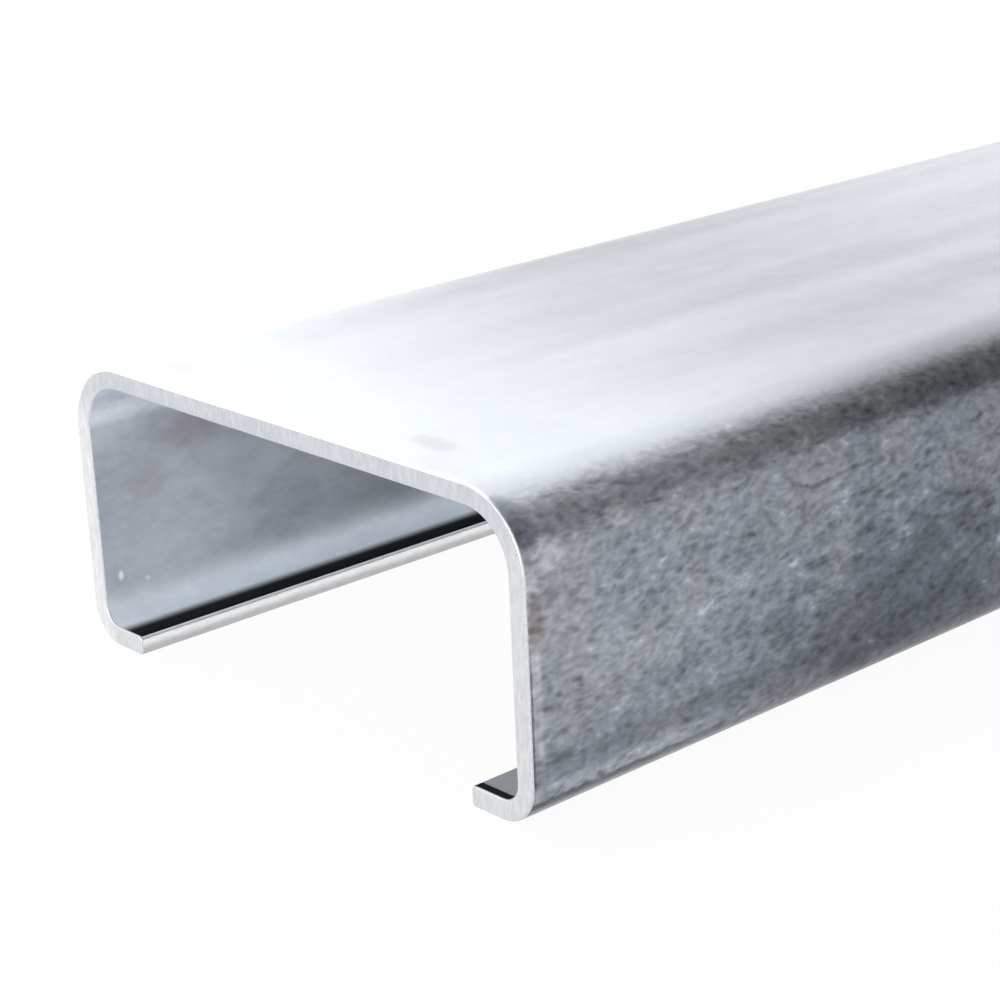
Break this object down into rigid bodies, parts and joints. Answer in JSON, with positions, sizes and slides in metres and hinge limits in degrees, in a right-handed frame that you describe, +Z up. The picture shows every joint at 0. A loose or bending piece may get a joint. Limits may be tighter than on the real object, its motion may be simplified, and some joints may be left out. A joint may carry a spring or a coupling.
{
  "type": "lipped c-channel",
  "caption": "One metre of galvanized steel C-channel with inward lips, lying web up on its lips.",
  "frame": {"origin": "on the floor, below the middle of the stock", "axes": "+X across the web, +Y along the stock away from the end shown, +Z up out of the web"},
  "size_m": [0.1, 1, 0.045],
  "materials": {
    "galvanized_steel": "hot-dip galvanized, fine spangle, satin"
  },
  "bodies": {
    "root": {"c_channel": "galvanized_steel"}
  },
  "joints": []
}
